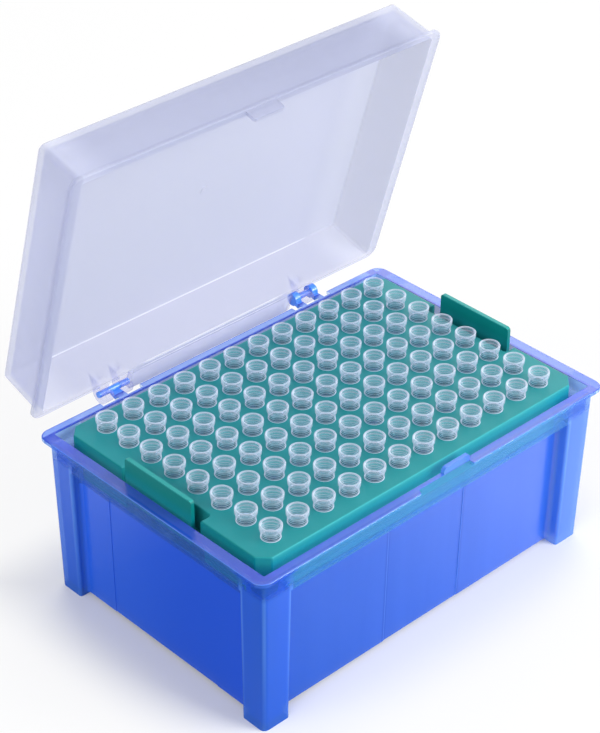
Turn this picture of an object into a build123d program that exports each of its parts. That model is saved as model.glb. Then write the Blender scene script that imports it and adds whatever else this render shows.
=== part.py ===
"""Hinged box of 96 pipette tips: base, rack plate, lid and the tips in their columns.

Millimetres. The origin is under the middle of the box, on the surface it stands on.
The long sides lie along X, the latch faces -Y, the hinges are at +Y and +Z is up.
"""

import os
from math import radians, tan

from build123d import *

# --- Tip grid --------------------------------------------------------------
pitch = 9.0
columns = 12
rows = 8

# --- Base moulding ---------------------------------------------------------
base_height = 50.2
wall = 1.2
draft_angle = 1.0
end_overhang = 2.5
side_overhang = 1.8
rim_thickness = 1.2
rim_round = 3.5
rim_edge_round = 0.35
band_height = 8.1
long_recess = 3.6
short_recess = 2.5
pillar_length = 9.7
pillar_width = 9.1
pillar_round = 1.6
edge_round = 0.8
pillar_root_round = 1.4
pillar_inner_round = 0.25
inner_round = 0.4
foot_drop = 1.0
floor_thickness = 1.3
long_panel_width = 28.0
short_panel_width = 41.0
panel_step = 0.15

# --- Rack plate ------------------------------------------------------------
plate_end_margin = 8.6
plate_side_margin = 6.5
plate_end_gap = 2.0
plate_rise = 1.5
plate_edge_round = 0.35
plate_thickness = 2.0
skirt_wall = 1.2
plate_corner = 3.2
rib_thickness = 1.0
rib_depth = 3.5
lip_drop = 5.0
lip_gap = 0.3
notch_length = 30.4
notch_depth = 3.6
notch_round = 1.0
tab_length = 25.5
tab_thickness = 1.1
tab_stand_out = 0.85
tab_rise = 4.9
tab_round = 1.0

# --- Tips ------------------------------------------------------------------
tip_length = 31.5
tip_head = 3.85
tip_rim_height = 1.35
tip_rim_step = 0.4
tip_rim_wall = 0.53
tip_seat_step = 0.38
tip_neck_radius = 2.2
tip_neck_length = 7.0
tip_shaft_radius = 1.75
tip_end_radius = 0.45
tip_wall = 0.42
tip_clearance = 0.15

# --- Lid moulding ----------------------------------------------------------
lid_depth = 16.0
lid_gap = 0.2
lid_side_overhang = 2.3
lid_edge_overhang = 0.7
lid_plate_gap = 0.3
lid_flange_thickness = 1.2
lid_wall_round = 2.2
lid_top_round = 0.9
lid_inner_round = 0.6
gate_radius = 1.3
gate_height = 0.25
tongue_start = -8.0
tongue_length = 10.5
tongue_drop = 3.6
tongue_thickness = 1.0
tongue_round = 1.0
tongue_gap = 0.6

# --- Hinges and latch ------------------------------------------------------
hinge_spacing = 70.8
hinge_setback = 2.7
hinge_rise = 0.4
pin_radius = 0.9
pin_length = 10.4
pin_clearance = 0.05
hook_wall = 1.9
arm_end_radius = 1.9
hook_rib_height = 6.0
side_gap = 0.4
post_width = 3.0
fork_width = 8.6
fork_arm_width = 2.0
flange_cut_length = 14.0
mouth_height = 1.3
open_angle = 74.0
catch_start = 1.7
catch_length = 9.5
catch_rise = 1.9
catch_left_round = 1.2
catch_right_round = 0.6
catch_gap = 0.3
catch_notch_length = 19.8
catch_notch_slant = 1.1
strip_reach = 3.6
strip_round = 1.0

# --- Sizes that follow -----------------------------------------------------
plate_x = (columns - 1) / 2 * pitch + plate_end_margin
plate_y = (rows - 1) / 2 * pitch + plate_side_margin
plate_side_gap = catch_gap + lid_edge_overhang + wall + lid_plate_gap
shell_x = plate_x + plate_end_gap + wall
shell_y = plate_y + plate_side_gap + wall
base_length = 2 * (shell_x + end_overhang)
base_width = 2 * (shell_y + side_overhang)
pillar_x = shell_x - pillar_length
pillar_y = shell_y - pillar_width
step_z = base_height - band_height
seat_z = step_z + wall
floor_z = foot_drop + floor_thickness
plate_top = base_height + plate_rise
hole_radius = tip_neck_radius + tip_clearance
tip_collar_radius = tip_neck_radius + tip_seat_step
tip_rim_radius = tip_collar_radius + tip_rim_step
tip_mouth_radius = tip_rim_radius - tip_rim_wall
hinge_y = base_width / 2 + hinge_setback
hinge_z = base_height + hinge_rise
closing_z = base_height + lid_gap
lid_top_z = closing_z + lid_depth
lid_front = -(shell_y - wall - catch_gap)
lid_rear = base_width / 2
hook_radius = pin_radius + pin_clearance + hook_wall
catch_end = catch_start + catch_length
half = Align.CENTER
low = Align.MIN
high = Align.MAX


def block(x_range, y_range, z_range):
    """Box between three pairs of limits."""
    (x0, x1), (y0, y1), (z0, z1) = x_range, y_range, z_range
    return Pos(x0, y0, z0) * Box(x1 - x0, y1 - y0, z1 - z0, align=(low, low, low))


def rounded_slab(x_range, y_range, z_range, radius):
    """Slab with rounded vertical corners between three pairs of limits."""
    (x0, x1), (y0, y1), (z0, z1) = x_range, y_range, z_range
    outline = RectangleRounded(x1 - x0, y1 - y0, radius)
    return extrude(Pos((x0 + x1) / 2, (y0 + y1) / 2, z0) * outline, z1 - z0)


def side_profile(x_range, points):
    """Prism along X whose outline is a closed list of (y, z) points."""
    face = make_face(Polyline(*[(0, y, z) for y, z in points], close=True))
    solid = extrude(face, x_range[1] - x_range[0], dir=(1, 0, 0))
    return Pos(x_range[0], 0, 0) * solid


def rod_along_x(x_range, y, z, radius):
    """Round bar along X."""
    length = x_range[1] - x_range[0]
    return Pos(x_range[0], y, z) * Rot(0, 90, 0) * Cylinder(radius, length, align=(half, half, low))


# --- Base ------------------------------------------------------------------
def draft_run(z):
    """How far the drafted wall has moved in at height z."""
    return (base_height - z) * tan(radians(draft_angle))


def corners_at(face, x, y):
    """The outline's vertices at (+-x, +-y)."""
    near = 1e-4
    return face.vertices().filter_by(lambda v: abs(abs(v.X) - x) < near and abs(abs(v.Y) - y) < near)


def wall_plan(inset, z):
    """Pillared outline of the lower box at height z, moved in by inset."""
    hx = shell_x - draft_run(z) - inset
    hy = shell_y - draft_run(z) - inset
    px, py = pillar_x + inset, pillar_y + inset
    cx, cy = long_panel_width / 2 + inset, short_panel_width / 2 + inset
    wx, wy = hx - short_recess, hy - long_recess
    quarter = [
        (wx - panel_step, cy),
        (wx, cy),
        (wx, py),
        (hx, py),
        (hx, hy),
        (px, hy),
        (px, wy),
        (cx, wy),
        (cx, wy - panel_step),
    ]
    back = list(reversed(quarter))
    points = quarter + [(-x, y) for x, y in back] + [(-x, -y) for x, y in quarter]
    points += [(x, -y) for x, y in back]
    face = make_face(Polyline(*[(x, y, 0) for x, y in points], close=True))
    face = fillet(corners_at(face, hx, hy), max(pillar_round - inset, pillar_inner_round))
    edges = corners_at(face, hx, py) + corners_at(face, px, hy)
    face = fillet(edges, max(edge_round - inset, pillar_inner_round))
    roots = corners_at(face, wx, py) + corners_at(face, px, wy)
    face = fillet(roots, pillar_root_round)
    return Pos(0, 0, z) * face


def band_plan(inset, z):
    """Rounded rectangle of the upper wall at height z, moved in by inset."""
    hx = shell_x - draft_run(z) - inset
    hy = shell_y - draft_run(z) - inset
    return Pos(0, 0, z) * RectangleRounded(2 * hx, 2 * hy, max(pillar_round - inset, inner_round))


def cross_slab(x, y, z0, z1):
    """Everything between two heights, apart from the four corners beyond x and y."""
    reach = base_length
    return block((-x, x), (-reach, reach), (z0, z1)) + block((-reach, reach), (-y, y), (z0, z1))


def lower_box():
    """Pillars, recessed walls, floor and the feet under the pillars."""
    outer = loft([wall_plan(0, 0), wall_plan(0, seat_z)], ruled=True)
    outer -= cross_slab(pillar_x, pillar_y, -1, foot_drop)
    cavity = loft([wall_plan(wall, wall), wall_plan(wall, seat_z)], ruled=True)
    cavity -= cross_slab(pillar_x + wall, pillar_y + wall, 0, floor_z)
    return outer, cavity


def rim():
    """Flange round the mouth, with its outer edges eased."""
    x, y = base_length / 2, base_width / 2
    slab = rounded_slab((-x, x), (-y, y), (base_height - rim_thickness, base_height), rim_round)
    slab = fillet(slab.faces().filter_by(Axis.Z).edges(), rim_edge_round)
    for x0 in (-hinge_spacing / 2, hinge_spacing / 2):
        cut = (x0 - flange_cut_length / 2, x0 + flange_cut_length / 2)
        slab -= block(cut, (shell_y, y + 1), (0, base_height + 1))
    return slab - catch_notch()


def catch_notch():
    """Cut in the flange in front of the catch and the lid's tongue, slanted at its far end."""
    outer, inner = -(base_width / 2), -shell_y
    start = catch_end - catch_notch_length
    points = [
        (catch_end, inner),
        (start + catch_notch_slant, inner),
        (start, outer),
        (start, outer - 1),
        (catch_end, outer - 1),
    ]
    outline = make_face(Polyline(*[(x, y, 0) for x, y in points], close=True))
    return extrude(outline, base_height + 1)


def hinge_arm(x_range):
    """Tongue that reaches back from the wall and carries the hinge pin."""
    under = base_height - rim_thickness
    root = shell_y - wall / 2
    points = [
        (root, under - rim_thickness),
        (hinge_y, hinge_z - pin_radius),
        (hinge_y, base_height),
        (root, base_height),
    ]
    return side_profile(x_range, points)


def hinge_pin(x_middle, length):
    """Cross bar that the lid's hooks turn on."""
    x_range = (x_middle - length / 2, x_middle + length / 2)
    return rod_along_x(x_range, hinge_y, hinge_z, pin_radius)


def catch():
    """Upward run of the front wall that the lid's front edge closes behind."""
    root_z = base_height - rim_thickness
    y_range = (-shell_y, -shell_y + wall)
    body = block((catch_start, catch_end), y_range, (root_z, base_height + catch_rise))
    top = body.edges().filter_by(Axis.Y).group_by(Axis.Z)[-1].sort_by(Axis.X)
    body = fillet(top[0], catch_left_round)
    top = body.edges().filter_by(Axis.Y).sort_by(Axis.X)[-1]
    return fillet(top, catch_right_round)


def make_base():
    outer, cavity = lower_box()
    band = loft([band_plan(0, step_z), band_plan(0, base_height)], ruled=True)
    throat = loft([band_plan(wall, seat_z), band_plan(wall, base_height)], ruled=True)
    body = outer + band + rim() - cavity - throat
    post_x, fork_x = -hinge_spacing / 2, hinge_spacing / 2
    body += hinge_arm((post_x - post_width / 2, post_x + post_width / 2))
    body += hinge_pin(post_x, pin_length)
    for end in (-1, 1):
        tip_x = fork_x + end * fork_width / 2
        arm_x = sorted((tip_x, tip_x - end * fork_arm_width))
        body += hinge_arm(arm_x) + rod_along_x(arm_x, hinge_y, hinge_z, arm_end_radius)
    body += hinge_pin(fork_x, fork_width)
    body += catch()
    return body.solid()


# --- Rack plate ------------------------------------------------------------
def grid(x_count=columns, y_count=rows):
    """Centres of the tip holes."""
    xs = [(i - (x_count - 1) / 2) * pitch for i in range(x_count)]
    ys = [(j - (y_count - 1) / 2) * pitch for j in range(y_count)]
    return [(x, y) for x in xs for y in ys]


def plate_outline(inset):
    """Plan of the rack plate, with cut corners and a notch in each short side."""
    face = Rectangle(2 * (plate_x - inset), 2 * (plate_y - inset))
    cut = plate_corner - inset * (2 - 2**0.5)
    face = chamfer(face.vertices(), cut)
    for side in (-1, 1):
        depth = 2 * (notch_depth + inset)
        width = notch_length + 2 * inset
        notch = Pos(side * (plate_x), 0) * Rectangle(depth, width)
        face -= notch
    inner_x = plate_x - notch_depth - inset
    inner = corners_at(face, inner_x, notch_length / 2 + inset)
    return fillet(inner, notch_round + inset)


def lifting_tab(side):
    """Upright tab in a notch, on a shelf that joins it to the skirt's foot."""
    outer = plate_x + tab_stand_out
    inner = outer - tab_thickness
    shelf_in = plate_x - notch_depth - skirt_wall
    reach = tab_length / 2
    tab = block((inner, outer), (-reach, reach), (seat_z, plate_top + tab_rise))
    tab = fillet(tab.edges().filter_by(Axis.X).group_by(Axis.Z)[-1], tab_round)
    shelf = block((shelf_in, outer), (-reach, reach), (seat_z, seat_z + skirt_wall))
    solid = tab + shelf
    return solid if side > 0 else mirror(solid, about=Plane.YZ)


def plate_ribs():
    """Stiffening ribs under the plate, between the rows of tips."""
    top = plate_top - plate_thickness
    z_range = (top - rib_depth, top + plate_thickness / 2)
    reach_x = plate_x - notch_depth - skirt_wall / 2
    reach_y = plate_y - skirt_wall / 2
    ribs = block((-reach_x, reach_x), (-rib_thickness / 2, rib_thickness / 2), z_range)
    for step in (-4, -2, 0, 2, 4):
        x = step * pitch
        ribs += block((x - rib_thickness / 2, x + rib_thickness / 2), (-reach_y, reach_y), z_range)
    return ribs


def locating_lip():
    """Lip that hangs just inside the base's recessed walls, and the shelf that carries it."""
    z_range = (seat_z - lip_drop, seat_z + skirt_wall)
    clearance = draft_run(z_range[0]) + wall + panel_step + lip_gap
    x = shell_x - short_recess - clearance
    y = shell_y - long_recess - clearance
    lip = rounded_slab((-x, x), (-y, y), z_range, plate_corner)
    lip -= block((-x, x), (-notch_length / 2, notch_length / 2), z_range)
    shelf = extrude(Pos(0, 0, seat_z) * plate_outline(skirt_wall / 2), skirt_wall)
    x, y = x - skirt_wall, y - skirt_wall
    return lip + shelf - rounded_slab((-x, x), (-y, y), z_range, plate_corner - skirt_wall)


def make_rack_plate():
    outline = plate_outline(0)
    body = extrude(Pos(0, 0, seat_z) * outline, plate_top - seat_z)
    body = fillet(body.faces().sort_by(Axis.Z)[-1].edges(), plate_edge_round)
    hollow_z = plate_top - plate_thickness
    body -= extrude(Pos(0, 0, seat_z) * plate_outline(skirt_wall), hollow_z - seat_z)
    body += plate_ribs() + locating_lip()
    hole = Cylinder(hole_radius, plate_thickness + rib_depth, align=(half, half, high))
    for x, y in grid():
        body -= Pos(x, y, plate_top) * hole
    for side in (-1, 1):
        body += lifting_tab(side)
    return body.solid()


# --- Tips ------------------------------------------------------------------
def tip_profile():
    """Half section of one tip, seated with its collar on the rack plate."""
    bottom = tip_head - tip_length
    outer = [
        (tip_rim_radius, tip_head),
        (tip_rim_radius, tip_head - tip_rim_height),
        (tip_collar_radius, tip_head - tip_rim_height - tip_rim_step),
        (tip_collar_radius, 0),
        (tip_neck_radius, 0),
        (tip_shaft_radius, -tip_neck_length),
        (tip_end_radius, bottom),
    ]
    inner = [
        (tip_end_radius - tip_wall / 2, bottom),
        (tip_shaft_radius - tip_wall, -tip_neck_length),
        (tip_mouth_radius, tip_head),
    ]
    return make_face(Polyline(*[(r, 0, z) for r, z in outer + inner], close=True))


def make_tip():
    return revolve(tip_profile(), Axis.Z)


def make_tip_column(index):
    """The tips of one column, which a multichannel pipette takes together."""
    tip = make_tip()
    x = (index - (columns - 1) / 2) * pitch
    places = [(j - (rows - 1) / 2) * pitch for j in range(rows)]
    return Compound(children=[Pos(x, y, plate_top) * tip for y in places])


# --- Lid -------------------------------------------------------------------
def lid_wall_plan(inset, z):
    """Rounded rectangle of the lid's wall at height z, moved in by inset."""
    run = (z - closing_z) * tan(radians(draft_angle)) + inset
    hx = base_length / 2 - lid_side_overhang - run
    front = lid_front + lid_edge_overhang + run
    rear = lid_rear - lid_edge_overhang - run
    outline = RectangleRounded(2 * hx, rear - front, max(lid_wall_round - inset, inner_round))
    return Pos(0, (front + rear) / 2, z) * outline


def lid_shell():
    """Shallow drafted tray with its flange, mouth down."""
    shell = loft([lid_wall_plan(0, closing_z), lid_wall_plan(0, lid_top_z)], ruled=True)
    shell = fillet(shell.faces().sort_by(Axis.Z)[-1].edges(), lid_top_round)
    x = base_length / 2
    flange_z = (closing_z, closing_z + lid_flange_thickness)
    flange = rounded_slab((-x, x), (lid_front, lid_rear), flange_z, rim_round)
    shell += fillet(flange.faces().filter_by(Axis.Z).edges(), rim_edge_round)
    ceiling = lid_top_z - wall
    hollow = loft([lid_wall_plan(wall, closing_z), lid_wall_plan(wall, ceiling)], ruled=True)
    shell -= fillet(hollow.faces().sort_by(Axis.Z)[-1].edges(), lid_inner_round)
    centre_y = (lid_front + lid_rear) / 2
    gate = Cylinder(gate_radius, 2 * gate_height, align=(half, half, half))
    return shell + Pos(0, centre_y, ceiling) * gate


def lid_tongue():
    """Tongue at the front that presses inside the base's rim."""
    outer = -(shell_y - wall - tongue_gap)
    x_range = (tongue_start, tongue_start + tongue_length)
    y_range = (outer, outer + tongue_thickness)
    body = block(x_range, y_range, (closing_z - tongue_drop, closing_z + wall))
    return fillet(body.edges().filter_by(Axis.Y).group_by(Axis.Z)[0], tongue_round)


def hook(x_range):
    """Hook that clips over the hinge pin, with the rib that braces it on the rear wall."""
    wall_y = lid_rear - lid_edge_overhang - wall / 2
    top = hinge_z + hook_radius
    root = [
        (wall_y, closing_z),
        (hinge_y, closing_z),
        (hinge_y, top),
        (wall_y, closing_z + hook_rib_height),
    ]
    body = side_profile(x_range, root) + rod_along_x(x_range, hinge_y, hinge_z, hook_radius)
    mouth_y = (hinge_y - 2 * hook_radius, hinge_y)
    body -= block(x_range, mouth_y, (hinge_z - hook_radius, closing_z))
    mouth_low = hinge_z - pin_radius - pin_clearance - hook_wall
    lip = block(x_range, (hinge_y - hook_radius / 2, hinge_y), (mouth_low, hinge_z - mouth_height / 2))
    lip &= rod_along_x(x_range, hinge_y, hinge_z, hook_radius)
    bore = rod_along_x(x_range, hinge_y, hinge_z, pin_radius + pin_clearance)
    return body + lip - bore


def stop_strip(x_range):
    """Run of the flange behind the hinge line, which meets the base's rim when the lid is far back."""
    y_range = (lid_rear - lid_edge_overhang, hinge_y + strip_reach)
    body = block(x_range, y_range, (closing_z, closing_z + lid_flange_thickness))
    return fillet(body.edges().filter_by(Axis.Z).group_by(Axis.Y)[-1], strip_round)


def make_lid():
    body = lid_shell() + lid_tongue()
    post_x, fork_x = -hinge_spacing / 2, hinge_spacing / 2
    body += stop_strip((post_x + pin_length / 2 + side_gap, fork_x - fork_width / 2 - side_gap))
    near, far = post_width / 2 + side_gap, pin_length / 2 - side_gap
    for end in (-1, 1):
        body += hook(sorted((post_x + end * near, post_x + end * far)))
    reach = fork_width / 2 - fork_arm_width - side_gap
    body += hook((fork_x - reach, fork_x + reach))
    return body.solid()


def opened(piece):
    """The lid turned back from closed to where it stands open."""
    return piece.rotate(Axis((0, hinge_y, hinge_z), (-1, 0, 0)), open_angle)


# --- Write the nodes -------------------------------------------------------
def main():
    os.makedirs("parts", exist_ok=True)
    nodes = {
        "base": make_base(),
        "rack_plate": make_rack_plate(),
        "lid": opened(make_lid()),
    }
    for index in range(columns):
        nodes[f"tips_column_{index + 1:02d}"] = make_tip_column(index)
    for name, shape in nodes.items():
        export_step(shape, f"parts/{name}.step")
    print("wrote", len(nodes), "nodes")


main()
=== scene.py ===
# %% [markdown]
# # A box of pipette tips
# The real box is three polypropylene mouldings: a blue see-through base, a teal rack plate
# and a frosted lid. Ninety-six clear tips stand in the plate. The CAD model already has the
# mouldings' true shapes, so this lesson loads it as a fixed frame, models the tips' fine
# heads, and spends most of its effort on four plastics that look alike in a drawing and
# very different on a bench.

# %% Load the frame
from math import pi, radians

import bmesh
import bpy
from mathutils import Euler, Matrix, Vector


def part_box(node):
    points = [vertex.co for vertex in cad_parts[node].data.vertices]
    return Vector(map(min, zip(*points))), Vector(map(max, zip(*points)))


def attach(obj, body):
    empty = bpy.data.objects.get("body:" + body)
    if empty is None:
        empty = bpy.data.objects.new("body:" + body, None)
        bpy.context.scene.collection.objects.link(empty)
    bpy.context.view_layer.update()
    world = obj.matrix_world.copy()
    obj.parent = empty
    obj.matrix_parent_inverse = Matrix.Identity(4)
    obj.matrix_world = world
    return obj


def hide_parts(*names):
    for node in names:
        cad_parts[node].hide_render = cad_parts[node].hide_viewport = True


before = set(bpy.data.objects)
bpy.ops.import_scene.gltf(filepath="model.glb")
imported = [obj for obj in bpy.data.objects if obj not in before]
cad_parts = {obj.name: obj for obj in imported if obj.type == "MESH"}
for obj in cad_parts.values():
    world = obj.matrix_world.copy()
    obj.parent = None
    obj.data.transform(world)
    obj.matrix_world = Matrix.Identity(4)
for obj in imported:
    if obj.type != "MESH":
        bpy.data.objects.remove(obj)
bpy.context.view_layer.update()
mm = 0.001

# %% [markdown]
# ## Camera
# A long lens from 0.6 m away, looking down on the open box by about a third of a right
# angle. A long lens keeps the box's upright edges nearly parallel, as a product picture does.

# %% Camera
camera = bpy.data.objects.new("camera", bpy.data.cameras.new("camera"))
camera.location = Vector((-337.03, -339.93, 380.59)) * mm
camera.rotation_euler = Euler([radians(angle) for angle in (56.5093, -0.4708, -43.5953)])
camera.data.lens = 106.92
camera.data.sensor_width = 36.0
camera.data.clip_end = 20.0
bpy.context.scene.collection.objects.link(camera)
bpy.context.scene.camera = camera
print("camera is", round(camera.location.length, 3), "m from the origin")

# %% [markdown]
# ## Shader sums
# Procedural finishes are mostly arithmetic on patterns. This small class wraps a node's
# output so that `1 - mask * 0.5` adds the Math nodes by itself, and `make` adds any other
# node in one call.

# %% A socket that can be used in sums
class Wire:
    """An output socket in a node tree."""

    def __init__(self, tree, socket=None):
        self.tree = tree
        self.socket = socket

    def make(self, kind, settings=None, sockets=None):
        """Adds a node, its settings first, then the values or links of its sockets."""
        node = self.tree.nodes.new(kind)
        for name, value in (settings or {}).items():
            setattr(node, name, value)
        for name, value in (sockets or {}).items():
            if isinstance(value, Wire):
                self.tree.links.new(value.socket, node.inputs[name])
            else:
                node.inputs[name].default_value = value
        return Wire(self.tree, node.outputs[0] if node.outputs else None)

    def out(self, name):
        """Another output of the same node."""
        return Wire(self.tree, self.socket.node.outputs[name])

    def sum(self, operation, first, second=0.0):
        return self.make("ShaderNodeMath", {"operation": operation}, {0: first, 1: second})

    def __add__(self, other):
        return self.sum("ADD", self, other)

    def __radd__(self, other):
        return self.sum("ADD", other, self)

    def __sub__(self, other):
        return self.sum("SUBTRACT", self, other)

    def __rsub__(self, other):
        return self.sum("SUBTRACT", other, self)

    def __mul__(self, other):
        return self.sum("MULTIPLY", self, other)

    def __rmul__(self, other):
        return self.sum("MULTIPLY", other, self)

    def __abs__(self):
        return self.sum("ABSOLUTE", self)


def new_material(name):
    """A material with an empty tree, and the wire that starts it."""
    material = bpy.data.materials.new(name)
    material.use_nodes = True
    material.node_tree.nodes.clear()
    return material, Wire(material.node_tree)


def show(surface):
    """Joins a finished surface to the material's output."""
    surface.make("ShaderNodeOutputMaterial", {}, {"Surface": surface})


# %% [markdown]
# A mask is a number from 0 to 1 that says how much a finish counts at a place. These
# functions make masks from places, and lay colours and shaders over one another by a mask.

# %% Masks, colours and layers
def smooth_step(value, zero_at, one_at):
    """0 at one value, 1 at the other, and an easy curve between them, in either direction."""
    settings = {"interpolation_type": "SMOOTHSTEP"}
    sockets = {"Value": value, "From Min": zero_at, "From Max": one_at}
    return value.make("ShaderNodeMapRange", settings, sockets)


def near(value, middle, zero_at, one_at):
    """A line along one value: 1 within one_at of it, 0 from zero_at on."""
    return smooth_step(abs(value - middle), zero_at, one_at)


def most(first, *others):
    """The greatest of several values."""
    for other in others:
        first = first.sum("MAXIMUM", first, other)
    return first


def vector_sum(operation, first, *others):
    """A sum on whole vectors."""
    sockets = dict(enumerate((first, *others)))
    return first.make("ShaderNodeVectorMath", {"operation": operation}, sockets)


def noise(place, scale, detail):
    """Soft noise from 0 to 1. The scale is in blotches to the metre."""
    return place.make("ShaderNodeTexNoise", {}, {"Vector": place, "Scale": scale, "Detail": detail})


def object_place(start):
    """Where a point is on the object, in metres."""
    return start.make("ShaderNodeTexCoord").out("Object")


def split(place):
    """The three coordinates of a place."""
    axes = place.make("ShaderNodeSeparateXYZ", {}, {"Vector": place})
    return axes.out("X"), axes.out("Y"), axes.out("Z")


def blend(share, first, second):
    """A colour between two colours."""
    node = share.make("ShaderNodeMix", {"data_type": "RGBA"}, {0: share, 6: first, 7: second})
    return node.out(2)


def layer(share, first, second):
    """One shader laid over another by a share."""
    return share.make("ShaderNodeMixShader", {}, {0: share, 1: first, 2: second})


def see_through(start, red, green, blue):
    """A clear layer with one tint all over."""
    return start.make("ShaderNodeBsdfTransparent", {}, {"Color": (red, green, blue, 1.0)})


# %% [markdown]
# ## Floor
# To the camera the floor is one pale white, and it glows a little away from the box, so that
# the box's shadow stays on it. To scattered light it is grey at the box's front left, so that
# less light bounces up on that side. To mirrored rays its right part glows, and the glossy
# rim and walls show it.

# %% Floor
white = (1.0, 1.0, 1.0, 1.0)
pale_floor = (0.86, 0.86, 0.86, 1.0)
grey_floor = (0.16, 0.16, 0.18, 1.0)
footprint = (62 * mm, 42 * mm)

floor_material, start = new_material("studio_white")
ray = start.make("ShaderNodeLightPath")
glossy = ray.out("Is Glossy Ray")
straight = most(ray.out("Is Camera Ray"), ray.out("Is Transmission Ray"))
floor_x, floor_y, _ = split(object_place(start))
pale_side = most(smooth_step(floor_x, -110 * mm, 60 * mm), smooth_step(floor_y, 20 * mm, 90 * mm))
pale_share = most(ray.out("Is Camera Ray"), pale_side)
matte = start.make("ShaderNodeBsdfDiffuse", {}, {"Color": blend(pale_share, grey_floor, pale_floor)})
glow = start.make("ShaderNodeEmission", {}, {"Color": white, "Strength": glossy * 0.8 + 1.0})
past_box = most(abs(floor_x) - footprint[0], abs(floor_y) - footprint[1])
seen_glow = straight * smooth_step(past_box, 0.0, 25 * mm) * 0.8
mirrored_glow = glossy * smooth_step(floor_x, 0.0, 90 * mm) * 0.9
show(layer(most(seen_glow, mirrored_glow), matte, glow))

sweep = bmesh.new()
bmesh.ops.create_grid(sweep, x_segments=1, y_segments=1, size=3.0)
floor_mesh = bpy.data.meshes.new("floor")
sweep.to_mesh(floor_mesh)
sweep.free()
floor_mesh.materials.append(floor_material)
floor = bpy.data.objects.new("floor", floor_mesh)
bpy.context.scene.collection.objects.link(floor)
print("floor is 6 m across")

# %% [markdown]
# ## Lights and world
# Three large soft lamps: a key in front of the latch side and to its right, so that the long
# side is bright and the short side falls into shade, a panel behind the box on the right, and
# a fill on the left. The world is white to the camera. It lights the box most from low down,
# and to mirrored rays it is brighter on the right.

# %% Lights and world
lamp_aim = Vector((0.0, 0.0, 0.04))
lamps = [  # name, place in metres, size in metres, watts
    ("key", (0.55, -1.0, 0.62), 0.8, 17.0),
    ("panel", (0.95, 0.95, 0.9), 1.3, 10.0),
    ("fill", (-1.1, -0.15, 0.7), 1.3, 11.0),
]
for name, lamp_place, size, watts in lamps:
    lamp = bpy.data.lights.new(name, "AREA")
    lamp.shape = "SQUARE"
    lamp.size = size
    lamp.energy = watts
    holder = bpy.data.objects.new(name, lamp)
    holder.location = lamp_place
    holder.rotation_euler = (lamp_aim - Vector(lamp_place)).to_track_quat("-Z", "Y").to_euler()
    bpy.context.scene.collection.objects.link(holder)

world = bpy.data.worlds.new("studio")
world.use_nodes = True
world.node_tree.nodes.clear()
start = Wire(world.node_tree)
ray = start.make("ShaderNodeLightPath")
straight = most(ray.out("Is Camera Ray"), ray.out("Is Transmission Ray"))
sky_x, _, sky_z = split(start.make("ShaderNodeTexCoord").out("Generated"))
lighting = smooth_step(sky_z, 1.0, 0.0) * 0.48 + 0.27
mirrored = smooth_step(sky_x, -0.5, 0.7) * 0.85 + 0.25
level = blend(ray.out("Is Glossy Ray"), lighting, mirrored)
dome = start.make("ShaderNodeBackground", {}, {"Color": white, "Strength": level})
backdrop = start.make("ShaderNodeBackground", {}, {"Color": white, "Strength": 1.0})
sky = layer(straight, dome, backdrop)
start.make("ShaderNodeOutputWorld", {}, {"Surface": sky})
bpy.context.scene.world = world
bpy.context.scene.cycles.transparent_max_bounces = 40
bpy.context.scene.view_settings.view_transform = "Standard"
print("lamps:", len(lamps), "and a white dome")

# %% [markdown]
# ## Blue base
# Coloured see-through polypropylene. Light both scatters in the wall and passes through
# it, so the finish mixes a glossy blue surface with a blue-tinted clear one. What lies
# close behind the wall, such as the teal plate's skirt, then tints the band under the rim.
#
# The walls come first. Below the ledge they are deep blue with faint upright streaks. The end
# walls are painted a deeper blue as shade, paler towards the rear as painted light. The corner
# pillars are lighter, and paler still towards the right as painted light. The band under the
# rim is painted darker at the ends as shade. The edges where walls and pillars meet, and the
# step at the long seams, are painted lighter as highlights.

# %% Base finish: walls
rim_top = 50.2 * mm
ledge_height = 38.5 * mm
pillar_x, pillar_y = 51.6 * mm, 32.6 * mm
draft_slope = 0.0175  # one degree
seam_line = (1.1 * mm, 0.2 * mm)

base_material, start = new_material("base_blue")
place = object_place(start)
base_x, base_y, height = split(place)
from_middle_x, from_middle_y = abs(base_x), abs(base_y)
drawn = start.make("ShaderNodeMapping", {}, {"Vector": place, "Scale": (1.0, 1.0, 0.07)})
streak = noise(drawn, 170.0, 3.0)
grain = noise(place, 900.0, 2.0)

rim = smooth_step(height, rim_top - 0.23 * mm, rim_top - 0.08 * mm)
lower = smooth_step(height, ledge_height + 0.9 * mm, ledge_height - 0.9 * mm)
pillar = smooth_step(from_middle_x, pillar_x - 0.7 * mm, pillar_x)
pillar = pillar * smooth_step(from_middle_y, pillar_y - 0.7 * mm, pillar_y)
ends = smooth_step(from_middle_x, 56.0 * mm, 58.0 * mm)
band = (1.0 - lower) * (1.0 - rim) * (1.0 - pillar)

long_seam = near(from_middle_x, 14.1 * mm, *seam_line) * smooth_step(from_middle_y, 35.0 * mm, 36.0 * mm)
short_seam = near(from_middle_y, 20.6 * mm, *seam_line) * smooth_step(from_middle_x, 55.0 * mm, 56.0 * mm)
seam = most(long_seam, short_seam) * lower
# Painted highlight: the step at the long seams is painted lighter.
seam_step_highlight = near(from_middle_x, 14.0 * mm, 0.22 * mm, 0.12 * mm) * long_seam
# Painted highlights: the pillar roots and the outer upright corners are painted lighter, more so higher up.
root_x = near(from_middle_x, 52.0 * mm, 1.1 * mm, 0.2 * mm) * smooth_step(from_middle_y, 36.0 * mm, 37.0 * mm)
root_y = near(from_middle_y, 33.2 * mm, 0.9 * mm, 0.2 * mm) * smooth_step(from_middle_x, 57.0 * mm, 58.0 * mm)
drafted = (rim_top - height) * draft_slope
corner = smooth_step(from_middle_x + drafted, 60.25 * mm, 60.7 * mm)
corner = corner * smooth_step(from_middle_y + drafted, 40.65 * mm, 41.1 * mm)
shine = most(root_x, root_y, corner) * (smooth_step(height, 0.0, 35.0 * mm) * 0.75 + 0.25)

# Painted shade and light: the end walls are painted a deeper blue, paler towards the rear.
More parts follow.
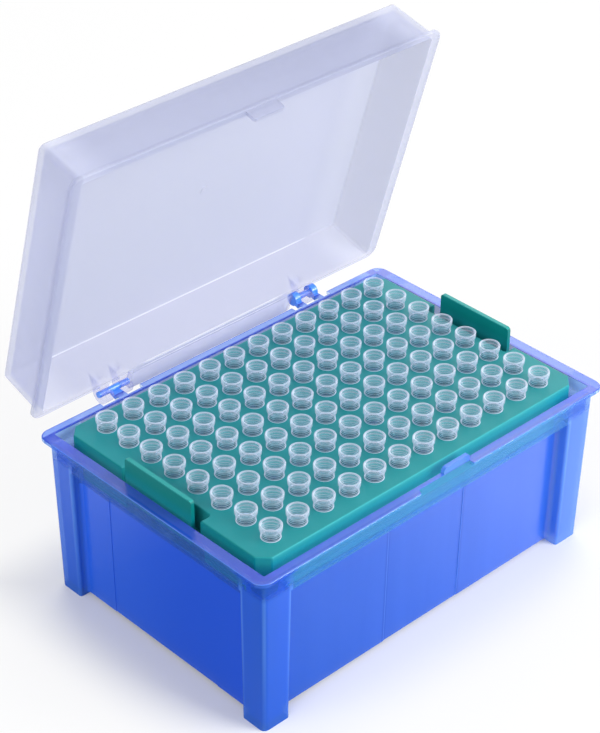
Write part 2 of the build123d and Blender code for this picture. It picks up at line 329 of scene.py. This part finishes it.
toward_rear = smooth_step(base_y, -15.0 * mm, 35.0 * mm)
# Painted light: the pillars are painted paler towards the right.
toward_right = smooth_step(base_x, 40.0 * mm, 60.0 * mm)
end_shade_blue = blend(toward_rear, (0.014, 0.120, 0.90, 1.0), (0.030, 0.165, 0.98, 1.0))
pillar_blue = blend(toward_right, (0.034, 0.175, 0.86, 1.0), (0.065, 0.24, 0.84, 1.0))
# Painted shade: the band under the rim is painted darker at the ends.
band_blue = blend(ends, (0.09, 0.43, 0.86, 1.0), (0.06, 0.22, 0.70, 1.0))
colour = blend(streak * 0.6 + seam * 0.7, (0.031, 0.156, 0.81, 1.0), (0.014, 0.108, 0.65, 1.0))
colour = blend(ends, colour, end_shade_blue)
colour = blend(pillar, colour, pillar_blue)
# Painted highlights on the seam steps, pillar roots and corners.
colour = blend(seam_step_highlight, colour, (0.07, 0.24, 0.92, 1.0))
colour = blend(shine * 0.8, colour, (0.13, 0.37, 1.0, 1.0))
colour = blend(band, colour, band_blue)
print("wall masks: streaks, seams, pillars, ends, band")

# %% [markdown]
# The rim is a rounded oblong, so the distance from an inner oblong gives lines that follow
# its outline round the corners. The front and left rim have a dark stripe inside a bright edge,
# and the bright edge is a painted highlight. The left rim is painted darker as shade, and the
# rear rim paler as a painted reflection. The rear and right rim lie between a dark outline and
# a dark inner line. The hinge pins and the catch stand above the rim and are lighter than it.

# %% Base finish: rim
rim_half = (63.8 * mm, 43.5 * mm)
rim_corner = 3.5 * mm
beyond_any_height = 1.0
dark_line = (0.006, 0.055, 0.55, 1.0)

core = (rim_half[0] - rim_corner, rim_half[1] - rim_corner, beyond_any_height)
past_core = vector_sum("SUBTRACT", vector_sum("ABSOLUTE", place), core)
reach = vector_sum("LENGTH", vector_sum("MAXIMUM", past_core, (0.0, 0.0, 0.0))).out("Value")
rear = smooth_step(base_y, 36.0 * mm, 38.0 * mm)
right = smooth_step(base_x, 57.0 * mm, 59.0 * mm)
far_side = most(rear, right)
near_side = 1.0 - far_side
outline = smooth_step(reach, 3.15 * mm, 3.3 * mm) * near_side
# A darker stripe on the front and left ledge, inside the bright outline.
dark_rim_stripe = near(reach, 2.7 * mm, 0.42 * mm, 0.25 * mm) * near_side
inner_line = most(
    rear * smooth_step(base_y, 41.45 * mm, 41.05 * mm),
    right * smooth_step(base_x, 61.0 * mm, 60.6 * mm),
)
far_outline = far_side * smooth_step(reach, 2.95 * mm, 3.1 * mm)
far_line = most(far_outline * 0.8, inner_line)
pins = smooth_step(base_y, rim_half[1] + 0.1 * mm, rim_half[1] + 0.4 * mm)
catch = smooth_step(height, rim_top + 0.05 * mm, rim_top + 0.25 * mm) * (1.0 - rear)
at_left = smooth_step(base_x, -58.0 * mm, -60.0 * mm)
above_wall = most(rim, pins)

# Painted shade: the left ledge is painted a darker blue.
ledge = blend(at_left, (0.055, 0.115, 0.80, 1.0), (0.055, 0.105, 0.72, 1.0))
# Painted reflection: the rear ledge is painted paler.
ledge = blend(rear, ledge, (0.20, 0.32, 0.90, 1.0))
ledge = blend(dark_rim_stripe, ledge, (0.006, 0.055, 0.46, 1.0))
# Painted highlight: the bright outline on the front and left rim.
ledge = blend(outline, ledge, (0.13, 0.31, 0.95, 1.0))
ledge = blend(far_line, ledge, dark_line)
ledge = blend(pins, ledge, (0.08, 0.31, 0.98, 1.0))
ledge = blend(catch, ledge, (0.13, 0.34, 0.96, 1.0))
colour = blend(above_wall, colour, ledge)
print("rim masks: groove, outline, inner line, pins, catch")

# %% [markdown]
# Last come the inner faces of the far walls, and the two layers themselves. The share is
# how much of the blue surface shows over the clear layer: most in the lower walls and the
# rim, little in the band, and a little more wherever a face is seen edge on.

# %% Base finish: layers
inner_half = (60.1 * mm, 40.5 * mm)

far_inside = start.sum("MINIMUM", abs(base_y - inner_half[1]), abs(base_x - inner_half[0]))
far_inside = smooth_step(far_inside, 0.5 * mm, 0.3 * mm) * smooth_step(height, 45.0 * mm, 48.0 * mm)
# Painted light: inside the far pillars the inner faces are painted pale, for light shining through them.
inside_blue = blend(pillar, (0.020, 0.120, 0.78, 1.0), (0.36, 0.56, 1.0, 1.0))
colour = blend(far_inside * (1.0 - rim), colour, inside_blue)
dents = start.make("ShaderNodeBump", {}, {"Height": grain, "Strength": 0.03, "Distance": 0.0001})
skin = start.make("ShaderNodeBsdfPrincipled", {}, {
    "Base Color": colour,
    "Roughness": 0.16 + streak * 0.06,
    "Normal": dents,
    "IOR": 1.8,
    "Specular IOR Level": 0.4,
    "Coat Weight": outline * 0.3,
    "Coat Roughness": 0.03,
    "Coat IOR": 1.7,
})

edge = start.make("ShaderNodeLayerWeight", {}, {"Blend": 0.35}).out("Facing")
thick = most(pillar * smooth_step(height, 43.0 * mm, 40.0 * mm), rim)
clear = layer(edge, see_through(start, 0.95, 0.98, 1.0), see_through(start, 0.76, 0.87, 1.0))
clear = layer(thick, clear, see_through(start, 0.58, 0.74, 1.0))
clear = layer(pillar * (1.0 - thick), clear, see_through(start, 0.62, 0.78, 1.0))

wall_share = lower * (0.62 - pillar * 0.14)
pillar_share = pillar * (smooth_step(height, 45.0 * mm, 42.0 * mm) * 0.32 + 0.20)
rim_share = above_wall * (most(far_line, dark_rim_stripe) * 0.4 + 0.5 + pins * 0.05 - catch * 0.15)
dense = most(wall_share, pillar_share, rim_share, band * 0.10, far_inside * 0.55)
show(layer(0.08 + edge * edge * edge * 0.15 + dense, clear, skin))
print("finish:", base_material.name)

# %% [markdown]
# ## Teal rack plate
# Opaque, and less shiny than the base: a satin skin with a fine moulded grain. The long
# sides of its skirt are painted brighter than the top as light, brightest along the upper edge
# as a painted highlight, and bluer lower down. The ends and the two tabs are painted darker as
# shade, and the tabs' top edges lighter as painted highlights.

# %% Plate finish
skirt_half_y = 38.0 * mm
skirt_end = 58.0 * mm
tab_top = 56.6 * mm

plate_material, start = new_material("plate_teal")
place = object_place(start)
plate_x, plate_y, height = split(place)
cloud = noise(place, 30.0, 4.0)
grain = noise(place, 1400.0, 2.0)
at_side = smooth_step(abs(plate_y), skirt_half_y - 0.5 * mm, skirt_half_y - 0.1 * mm)
at_end = smooth_step(abs(plate_x), skirt_end - 0.25 * mm, skirt_end)
upper = smooth_step(height, 49.6 * mm, 51.5 * mm)
tab = smooth_step(abs(plate_x), skirt_end - 0.6 * mm, skirt_end - 0.3 * mm)
tab = tab * smooth_step(height, 50.5 * mm, 54.0 * mm)
tab_edge_highlight = smooth_step(height, tab_top - 0.45 * mm, tab_top - 0.2 * mm)
colour = blend(cloud, (0.010, 0.245, 0.262, 1.0), (0.017, 0.288, 0.306, 1.0))
# Painted light: the skirt's long sides are painted lighter near the top, a painted highlight along the upper
# edge, and bluer lower down.
colour = blend(at_side * upper, colour, (0.025, 0.34, 0.375, 1.0))
colour = blend(at_side * (1.0 - upper), colour, (0.003, 0.27, 0.34, 1.0))
# Painted shade: the skirt's ends and the two tabs are painted darker.
colour = blend(at_end, colour, (0.0, 0.205, 0.235, 1.0))
colour = blend(tab, colour, (0.0, 0.190, 0.180, 1.0))
# Painted highlight: the tabs' top edges are painted lighter.
colour = blend(tab_edge_highlight, colour, (0.025, 0.33, 0.31, 1.0))
dents = start.make("ShaderNodeBump", {}, {"Height": grain, "Strength": 0.12, "Distance": 0.0002})
satin = start.make("ShaderNodeBsdfPrincipled", {}, {
    "Base Color": colour,
    "Roughness": 0.38 + cloud * 0.14,
    "Normal": dents,
    "IOR": 1.5,
    "Specular IOR Level": 0.2,
})
show(satin)
print("finish:", plate_material.name)

# %% [markdown]
# ## Frosted lid
# Uncoloured polypropylene with a frosted inside, pale lavender against white. Over most of
# the lid the milky surface has a share of about 0.3, and the rest is clear with a faint tint.
#
# The lid's CAD node stands open. Its masks are easier to place on the closed lid, so the
# places are turned back about the hinge first.

# %% Lid finish: places on the closed lid
hinge = Vector((0.0, 46.2, 50.6)) * mm
open_angle = radians(74)

lid_material, start = new_material("lid_frosted")
place = object_place(start)
to_closed = Euler((open_angle, 0.0, 0.0))
offset = hinge - to_closed.to_matrix() @ hinge
closed = start.make("ShaderNodeMapping", {}, {"Vector": place, "Rotation": to_closed, "Location": offset})
lid_x, lid_y, height = split(closed)
from_middle = abs(lid_x)
cloud = noise(place, 18.0, 4.0)
frost = noise(place, 1100.0, 3.0)

side_wall = smooth_step(from_middle, 45.0 * mm, 57.0 * mm)
front_wall = smooth_step(lid_y, -35.0 * mm, -38.0 * mm) * (1.0 - side_wall)
outer_edge = smooth_step(from_middle, 59.5 * mm, 60.5 * mm)
leftward = smooth_step(lid_x, 30.0 * mm, -50.0 * mm)
strip = smooth_step(lid_y, 43.5 * mm, 44.0 * mm)
# Painted highlights: thin light lines along the top's inner edge and the mouth's two steps.
inner_edge = near(height, 64.9 * mm, 0.25 * mm, 0.08 * mm) * smooth_step(lid_y, 38.0 * mm, 39.0 * mm)
inner_edge = inner_edge * smooth_step(from_middle, 50.0 * mm, 44.0 * mm)
mouth_edge = most(
    near(lid_y, 41.7 * mm, 0.22 * mm, 0.1 * mm),
    near(lid_y, 43.0 * mm, 0.18 * mm, 0.08 * mm),
)
mouth_edge = mouth_edge * smooth_step(from_middle, 28.0 * mm, 22.0 * mm)
mouth_edge = mouth_edge * smooth_step(height, 50.85 * mm, 50.7 * mm)
line = most(inner_edge * 0.6, mouth_edge)
from_pin = vector_sum("MULTIPLY", vector_sum("SUBTRACT", closed, hinge), (0.0, 1.0, 1.0))
from_pin = vector_sum("LENGTH", from_pin).out("Value")
hooks = smooth_step(from_pin, 4.0 * mm, 3.4 * mm) * smooth_step(from_middle, 28.5 * mm, 30.5 * mm)
print("lid masks: walls, strip, edge lines, hooks")

# %% [markdown]
# The side walls are painted paler than the top as light, and the front wall darker as shade,
# darkest to the right. The strip at the rear is painted paler, as light on a face in shade.
# Thin painted highlights draw the top's inner edge and the two steps of the mouth beside the
# strip. The outer edges are greyer. The hooks are nearly clear.

# %% Lid finish: layers
# Painted shade: the front wall is painted darker, darkest to the right.
front_shade_grey = blend(leftward, (0.53, 0.545, 0.65, 1.0), (0.64, 0.655, 0.76, 1.0))
colour = blend(cloud, (0.585, 0.60, 0.745, 1.0), (0.635, 0.65, 0.785, 1.0))
# Painted light: the side walls are painted paler.
colour = blend(side_wall, colour, (0.76, 0.775, 0.895, 1.0))
colour = blend(outer_edge, colour, (0.60, 0.615, 0.745, 1.0))
colour = blend(front_wall, colour, front_shade_grey)
# Painted light: the rear strip, a face in shade, is painted paler.
colour = blend(strip, colour, (0.80, 0.79, 0.93, 1.0))
# Painted highlights along the inner edge and the mouth's steps.
colour = blend(line, colour, (0.95, 0.95, 1.0, 1.0))
dents = start.make("ShaderNodeBump", {}, {"Height": frost, "Strength": 0.08, "Distance": 0.0002})
haze = start.make("ShaderNodeBsdfPrincipled", {}, {
    "Base Color": colour,
    "Roughness": 0.36 + cloud * 0.16,
    "Normal": dents,
    "IOR": 1.49,
    "Specular IOR Level": 0.25,
    "Subsurface Weight": 0.35,
    "Subsurface Radius": (1.0, 1.0, 1.2),
    "Subsurface Scale": 0.001,
})
clear = layer(side_wall, see_through(start, 0.835, 0.85, 0.925), see_through(start, 0.87, 0.883, 0.94))
clear = layer(hooks, clear, see_through(start, 0.885, 0.89, 0.97))
show(layer(line * 0.22 + 0.28 + strip * 0.2 - hooks * 0.34, clear, haze))
print("finish:", lid_material.name)

# %% [markdown]
# ## Clear tips
# Thin natural polypropylene: nearly clear face on, milky where it is seen edge on, because
# there the eye looks through more of it. A facing term gives that.
#
# The tips stand in a square grid, so wrapping a place at the pitch gives the distance from
# the nearest tip's own axis, and one finish serves all of them. It tells the outside of the
# head from the bore. It draws the collar's rings, the foot ring and the rim's edges milkier, as
# painted highlights, and paints shade between the rings low on the collar, where it is seen
# face on. Below the plate top the milky layer is painted teal, for the plate seen through it.

# %% Tip finish
pitch = 9.0 * mm
plate_top = 51.7 * mm
ring_spacing = 0.58 * mm
ring_phase = 2.6  # sets the light bands on the collar's rings

tip_material, start = new_material("tip_natural")
place = object_place(start)
cell = vector_sum("WRAP", place, (pitch, pitch, 1.0), (0.0, 0.0, -1.0))
arm = vector_sum("SUBTRACT", cell, (pitch / 2, pitch / 2, 0.0))
radius = vector_sum("LENGTH", vector_sum("MULTIPLY", arm, (1.0, 1.0, 0.0))).out("Value")
outside = smooth_step(radius, 2.3 * mm, 2.45 * mm)
above = split(place)[2] - plate_top
edge = start.make("ShaderNodeLayerWeight", {}, {"Blend": 0.3}).out("Facing")
wall_side = smooth_step(edge, 0.15, 0.32)

head = smooth_step(above, -0.3 * mm, 0.0)
collar = smooth_step(above, 2.1 * mm, 1.95 * mm)
ripple = start.sum("SINE", above * (2 * pi / ring_spacing) + ring_phase)
ring = smooth_step(ripple, 0.0, 0.8) * collar
foot_ring = smooth_step(above, 0.20 * mm, 0.14 * mm)
rim_edges = most(smooth_step(above, 3.5 * mm, 3.65 * mm), near(above, 2.4 * mm, 0.2 * mm, 0.08 * mm))
hole = smooth_step(above, -4.5 * mm, -2.0 * mm) * (1.0 - head)
# Painted shade: low on the collar, where it is seen face on, the clear layer is tinted dark teal between the
# rings.
shadow = outside * collar * (1.0 - ring) * (1.0 - wall_side) * smooth_step(above, 1.7 * mm, 0.5 * mm)

# Below the plate top the milky layer is painted teal, for the plate seen through the tip.
colour = blend(head, (0.06, 0.60, 0.68, 1.0), (0.69, 0.755, 0.90, 1.0))
milk = start.make("ShaderNodeBsdfPrincipled", {}, {"Base Color": colour, "Roughness": 0.25, "IOR": 1.49})
clear = layer(shadow, see_through(start, 0.96, 0.98, 0.99), see_through(start, 0.42, 0.66, 0.73))
clear = layer(head, see_through(start, 0.86, 0.96, 0.97), clear)
# Painted highlights: the rings, the foot ring and the rim's edges are drawn milkier.
outer_share = 0.06 + ring * 0.30 + foot_ring * 0.85 + (1.0 - collar) * 0.12
outer_share = outer_share + rim_edges * 0.16 + wall_side * 0.25
inner_share = 0.035 + wall_side * 0.20
head_share = inner_share + outside * (outer_share - inner_share)
show(layer(head * head_share + hole * 0.40 + 0.02, clear, milk))
print("finish:", tip_material.name)

# %% Give the finishes to the CAD nodes
finishes = {"base": base_material, "rack_plate": plate_material, "lid": lid_material}
for node_name, finish in finishes.items():
    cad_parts[node_name].data.materials.clear()
    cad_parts[node_name].data.materials.append(finish)
print("finished:", ", ".join(finishes))

# %% [markdown]
# ## Tip heads
# Each tip is turned: one half section spun round an upright axis. The head has a thick
# rim, a conical mouth, and a collar with three fine rings that stands on the plate.

# %% One tip
tip_section = [  # radius and height above the plate, in millimetres
    (2.10, 3.30), (2.55, 3.78), (2.72, 3.85), (2.90, 3.82), (2.98, 3.70), (2.95, 2.35),
    (2.72, 2.05), (2.64, 1.95), (2.64, 1.60), (2.52, 1.52), (2.52, 1.34), (2.63, 1.26),
    (2.63, 1.02), (2.51, 0.94), (2.51, 0.76), (2.62, 0.68), (2.62, 0.44), (2.52, 0.36),
    (2.52, 0.22), (2.66, 0.14), (2.66, 0.02), (2.20, 0.00), (1.75, -7.00), (1.12, -17.00),
    (0.45, -27.65), (0.24, -27.65), (0.75, -17.00), (1.33, -7.00), (1.70, -0.40), (1.78, 1.20),
]
head_height = max(z for r, z in tip_section) * mm
tip_segments = 28


def spin_tip(section, segments):
    """A closed tube of revolution about the Z axis, in metres."""
    tip = bmesh.new()
    profile = [tip.verts.new((r * mm, 0.0, z * mm)) for r, z in section]
    edges = [tip.edges.new((a, b)) for a, b in zip(profile, profile[1:] + profile[:1])]
    bmesh.ops.spin(
        tip, geom=profile + edges, cent=(0, 0, 0), axis=(0, 0, 1),
        angle=radians(360), steps=segments, use_merge=True,
    )
    bmesh.ops.remove_doubles(tip, verts=tip.verts, dist=1e-7)
    bmesh.ops.recalc_face_normals(tip, faces=tip.faces)
    return tip


one_tip = spin_tip(tip_section, tip_segments)
print("one tip:", len(one_tip.faces), "faces")

# %% [markdown]
# ## Columns of eight
# The tips stand on the plate at the pitch of a multichannel pipette. Each column is one
# piece, like its CAD node, and takes that node's place.

# %% Set the tips in the plate
tips_in_column = 8
tip_mesh = bpy.data.meshes.new("one_tip")
one_tip.to_mesh(tip_mesh)
one_tip.free()
columns = sorted(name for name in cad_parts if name.startswith("tips_column_"))
for name in columns:
    low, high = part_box(name)
    x = (low.x + high.x) / 2
    seat = high.z - head_height
    column = bmesh.new()
    for row in range(tips_in_column):
        y = (row - (tips_in_column - 1) / 2) * pitch
        before = len(column.verts)
        column.from_mesh(tip_mesh)
        column.verts.ensure_lookup_table()
        bmesh.ops.translate(column, verts=column.verts[before:], vec=(x, y, seat))
    for face in column.faces:
        face.smooth = True
    mesh = bpy.data.meshes.new(name + "_heads")
    column.to_mesh(mesh)
    column.free()
    mesh.materials.append(tip_material)
    piece = bpy.data.objects.new(name + "_heads", mesh)
    bpy.context.scene.collection.objects.link(piece)
    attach(piece, "base")
    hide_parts(name)
print("columns:", len(columns))
